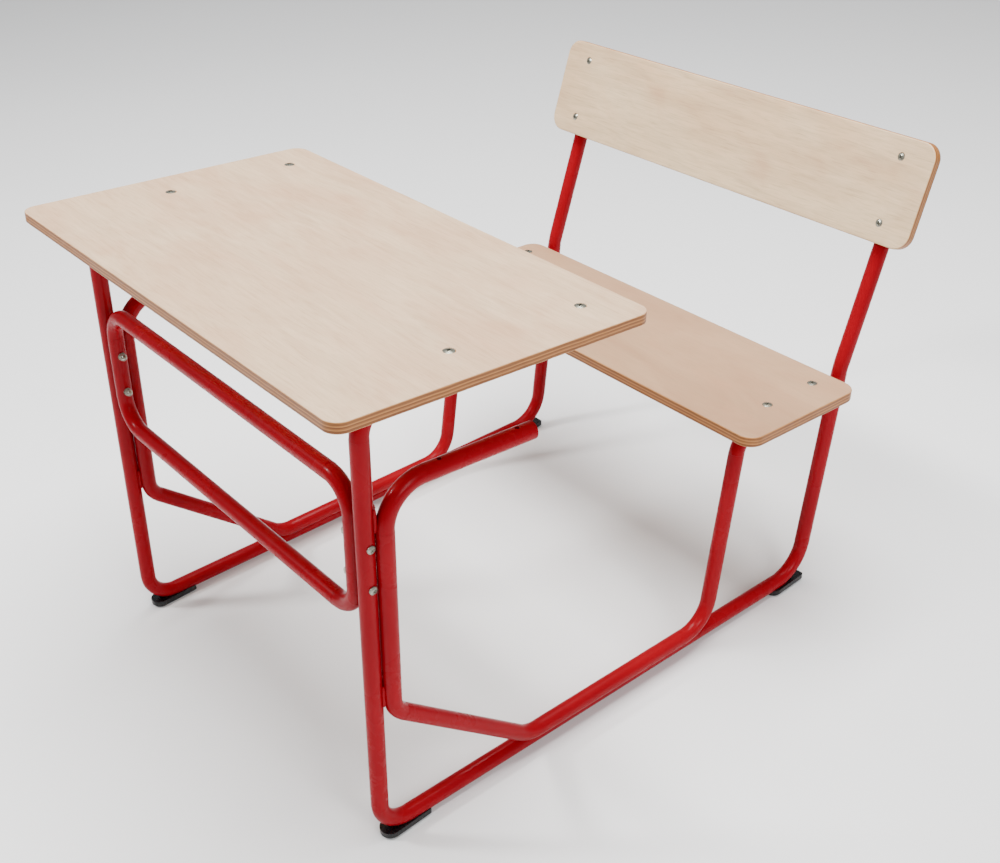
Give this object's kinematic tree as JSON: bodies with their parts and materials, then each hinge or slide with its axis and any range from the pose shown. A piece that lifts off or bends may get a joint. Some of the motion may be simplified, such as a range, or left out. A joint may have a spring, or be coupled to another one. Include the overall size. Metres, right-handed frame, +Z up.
{
  "type": "student desk chair",
  "caption": "Combined school desk and bench: sloping plywood desktop, bench seat and leaning backrest on two welded side frames of bent red tube, tied together by a closed tube loop",
  "frame": {"origin": "on the floor, under the middle of the bounding box", "axes": "+X across the desk to the sitter's left, +Y from the desktop's front edge back to the backrest, +Z up; the sitter faces -Y"},
  "size_m": [0.838, 1.1384, 0.764],
  "materials": {
    "plywood": "clear lacquered birch veneer, satin",
    "red_paint": "glossy red enamel",
    "zinc": "bright zinc plated",
    "black_plastic": "smooth black, slightly worn"
  },
  "bodies": {
    "root": {"tabletop": "plywood", "seat_board": "plywood", "backrest_board": "plywood", "right_main_tube": "red_paint", "left_main_tube": "red_paint", "right_brace_tube": "red_paint", "left_brace_tube": "red_paint", "cross_frame": "red_paint", "tabletop_screws": "zinc", "tabletop_washers": "zinc", "tabletop_nuts": "zinc", "seat_screws": "zinc", "seat_washers": "zinc", "seat_nuts": "zinc", "backrest_screws": "zinc", "backrest_washers": "zinc", "backrest_nuts": "zinc", "frame_bolts": "zinc", "frame_washers": "zinc", "frame_cap_nuts": "zinc", "right_front_glide": "black_plastic", "right_rear_glide": "black_plastic", "left_front_glide": "black_plastic", "left_rear_glide": "black_plastic", "right_post_plug": "black_plastic", "left_post_plug": "black_plastic", "right_desk_tube_plug": "black_plastic", "left_desk_tube_plug": "black_plastic", "right_arm_disc": "red_paint", "left_arm_disc": "red_paint"}
  },
  "joints": []
}
